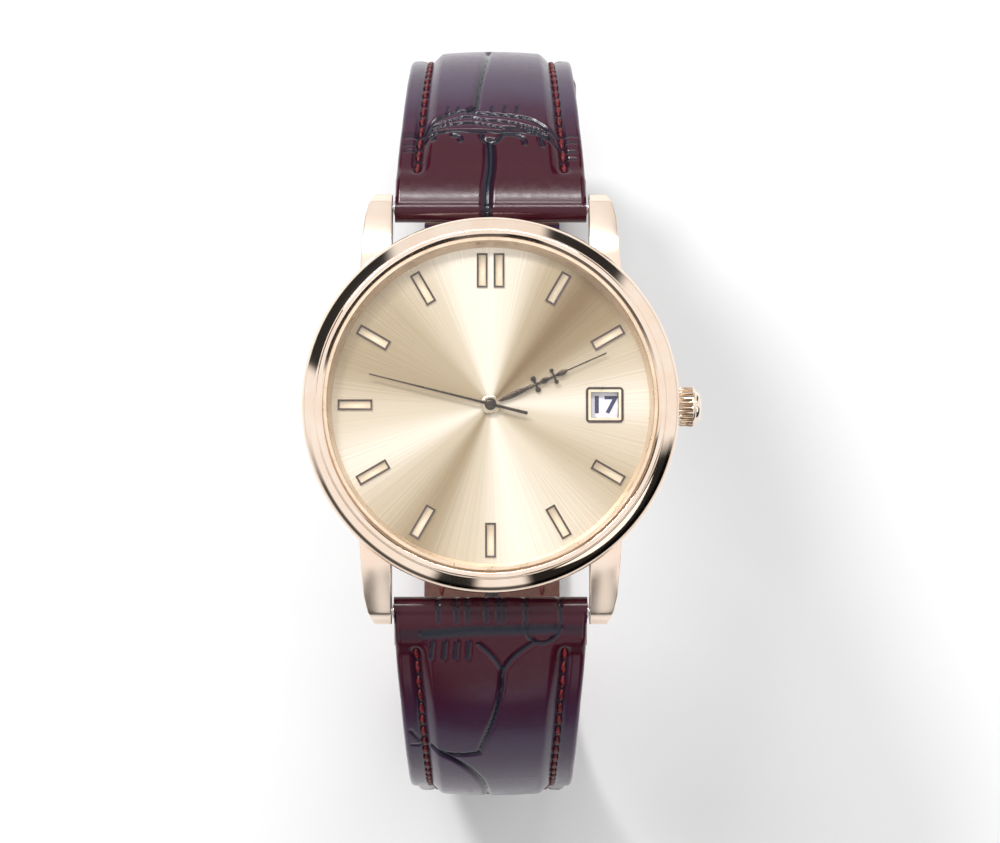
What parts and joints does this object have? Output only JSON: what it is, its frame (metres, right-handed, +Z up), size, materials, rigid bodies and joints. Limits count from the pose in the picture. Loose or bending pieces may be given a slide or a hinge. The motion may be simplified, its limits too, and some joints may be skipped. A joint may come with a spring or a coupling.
{
  "type": "wristwatch",
  "caption": "Round quartz dress watch with date, polished case and padded leather strap standing open in a ring, unbuckled.",
  "frame": {"origin": "on the surface the strap rests on, straight below the dial's centre", "axes": "+X to the crown at 3 o'clock, +Y to 12 o'clock, +Z up out of the dial"},
  "size_m": [0.0403, 0.0807, 0.072],
  "materials": {
    "gold_case": "polished gold plate",
    "steel": "satin",
    "battery_steel": "polished",
    "glass": "clear",
    "nylon": "plain",
    "rubber": "plain",
    "flange": "satin",
    "dial_face": "sunburst champagne",
    "gilt": "polished",
    "hand_bronze": "polished",
    "hand_alloy": "polished",
    "movement_plastic": "moulded",
    "movement_brass": "machined",
    "date_print": "matt white",
    "board": "solder mask",
    "can": "satin",
    "chip": "epoxy",
    "iron": "plain",
    "copper": "enamelled wire",
    "strap_leather": "glossy embossed",
    "strap_lining": "matt",
    "padding": "felt"
  },
  "bodies": {
    "head": {"case_middle": "gold_case", "bezel": "gold_case", "crystal": "glass", "crystal_gasket": "nylon", "dial_ring": "flange", "case_back": "steel", "case_back_gasket": "rubber", "dial": "dial_face", "hour_markers": "gilt", "date_frame": "gilt", "movement_holder": "nylon", "main_plate": "movement_plastic", "train_bridge": "movement_brass", "movement_screws": "steel", "battery": "battery_steel", "battery_clamp": "steel", "circuit_board": "board", "quartz_oscillator": "can", "control_chip": "chip", "coil_core": "iron", "coil_winding": "copper", "stator": "iron", "calendar_cover": "steel", "crown_tube": "steel", "lug_spring_bars": "steel"},
    "rotor": {"rotor": "iron"},
    "fifth_wheel": {"fifth_wheel": "movement_plastic"},
    "third_wheel": {"third_wheel": "movement_brass"},
    "seconds": {"seconds_wheel": "movement_brass", "seconds_hand": "hand_alloy"},
    "minutes": {"centre_wheel": "movement_brass", "cannon_pinion": "movement_brass", "minute_hand": "hand_bronze"},
    "minute_wheel": {"minute_wheel": "movement_plastic"},
    "hours": {"hour_wheel": "movement_plastic", "hour_hand": "hand_bronze"},
    "setting_wheel": {"setting_wheel": "movement_plastic"},
    "date_drive_wheel": {"date_drive_wheel": "movement_plastic"},
    "date_ring": {"date_ring": "date_print"},
    "crown_seal": {"crown_seal": "rubber"},
    "crown": {"crown": "gold_case", "winding_stem": "steel"},
    "sliding_pinion": {"sliding_pinion": "steel"},
    "setting_lever": {"setting_lever": "steel"},
    "yoke": {"yoke": "steel"},
    "buckle_half": {"buckle_strap_leather": "strap_leather", "buckle_strap_padding": "padding", "buckle_strap_lining": "strap_lining", "fixed_keeper": "strap_leather"},
    "tail_half": {"tail_strap_leather": "strap_leather", "tail_strap_padding": "padding", "tail_strap_lining": "strap_lining"},
    "free_keeper": {"free_keeper": "strap_leather"},
    "buckle": {"buckle_frame": "gold_case", "buckle_spring_bar": "steel"},
    "tongue": {"buckle_tongue": "gold_case"}
  },
  "joints": [
    {"name": "seconds_turn", "type": "hinge", "parent": "head", "child": "seconds", "pos_m": [0, 0, 0.067], "axis": [0, 0, -1], "continuous": true},
    {"name": "rotor_turn", "type": "hinge", "parent": "head", "child": "rotor", "pos_m": [0.00108, 0.00393, 0.067], "axis": [0, 0, -1], "continuous": true},
    {"name": "fifth_turn", "type": "hinge", "parent": "head", "child": "fifth_wheel", "pos_m": [0, 0.00264, 0.0665], "axis": [0, 0, -1], "continuous": true},
    {"name": "third_turn", "type": "hinge", "parent": "head", "child": "third_wheel", "pos_m": [-0.0024, -0.00087, 0.067], "axis": [0, 0, -1], "continuous": true},
    {"name": "minute_turn", "type": "hinge", "parent": "head", "child": "minutes", "pos_m": [0, 0, 0.068], "axis": [0, 0, -1], "continuous": true},
    {"name": "minute_wheel_turn", "type": "hinge", "parent": "head", "child": "minute_wheel", "pos_m": [0.002, 0, 0.0683], "axis": [0, 0, -1], "continuous": true},
    {"name": "hour_turn", "type": "hinge", "parent": "head", "child": "hours", "pos_m": [0, 0, 0.069], "axis": [0, 0, -1], "continuous": true},
    {"name": "setting_wheel_turn", "type": "hinge", "parent": "head", "child": "setting_wheel", "pos_m": [0.0045, 0, 0.06825], "axis": [0, 0, -1], "continuous": true},
    {"name": "date_drive_turn", "type": "hinge", "parent": "head", "child": "date_drive_wheel", "pos_m": [-0.00507, 0.00185, 0.0686], "axis": [0, 0, -1], "continuous": true},
    {"name": "date_ring_turn", "type": "hinge", "parent": "head", "child": "date_ring", "pos_m": [0, 0, 0.0686], "axis": [0, 0, -1], "continuous": true},
    {"name": "crown_pull", "type": "slide", "parent": "head", "child": "crown_seal", "axis": [1, 0, 0], "range_m": [0, 0.001]},
    {"name": "crown_turn", "type": "hinge", "parent": "crown_seal", "child": "crown", "pos_m": [0.0195, 0, 0.0674], "axis": [1, 0, 0], "continuous": true},
    {"name": "clutch_slide", "type": "slide", "parent": "crown", "child": "sliding_pinion", "axis": [1, 0, 0], "range_m": [-0.00161, 0]},
    {"name": "setting_lever_turn", "type": "hinge", "parent": "head", "child": "setting_lever", "pos_m": [0.01055, 0.0025, 0.0665], "axis": [0, 0, 1], "range_deg": [0, 23]},
    {"name": "yoke_turn", "type": "hinge", "parent": "head", "child": "yoke", "pos_m": [0.00705, -0.0025, 0.0663], "axis": [0, 0, 1], "range_deg": [0, 14]},
    {"name": "buckle_half_swing", "type": "hinge", "parent": "head", "child": "buckle_half", "pos_m": [0, 0.0206, 0.0656], "axis": [1, 0, 0], "range_deg": [0, 60]},
    {"name": "tail_half_swing", "type": "hinge", "parent": "head", "child": "tail_half", "pos_m": [0, -0.0206, 0.0656], "axis": [-1, 0, 0], "range_deg": [0, 60]},
    {"name": "free_keeper_slide", "type": "slide", "parent": "buckle_half", "child": "free_keeper", "axis": [0, 0, 1], "range_m": [-0.004, 0.009]},
    {"name": "buckle_swing", "type": "hinge", "parent": "buckle_half", "child": "buckle", "pos_m": [0, 0.0247, 0.00162], "axis": [1, 0, 0], "range_deg": [-75, 75]},
    {"name": "tongue_swing", "type": "hinge", "parent": "buckle", "child": "tongue", "pos_m": [0, 0.0247, 0.00162], "axis": [1, 0, 0], "range_deg": [0, 70]}
  ],
  "couplings": [
    {"joint": "rotor_turn", "follows": "seconds_turn", "ratio": 30},
    {"joint": "fifth_turn", "follows": "seconds_turn", "ratio": -5},
    {"joint": "third_turn", "follows": "seconds_turn", "ratio": -0.13333},
    {"joint": "minute_turn", "follows": "seconds_turn", "ratio": 0.016667},
    {"joint": "minute_wheel_turn", "follows": "seconds_turn", "ratio": -0.0055556},
    {"joint": "hour_turn", "follows": "seconds_turn", "ratio": 0.0013889},
    {"joint": "setting_wheel_turn", "follows": "seconds_turn", "ratio": 0.0083333},
    {"joint": "date_drive_turn", "follows": "seconds_turn", "ratio": -0.00069444},
    {"joint": "clutch_slide", "follows": "crown_pull", "ratio": -1.6},
    {"joint": "setting_lever_turn", "follows": "crown_pull", "rad_per_m": 400},
    {"joint": "yoke_turn", "follows": "crown_pull", "rad_per_m": 240}
  ]
}
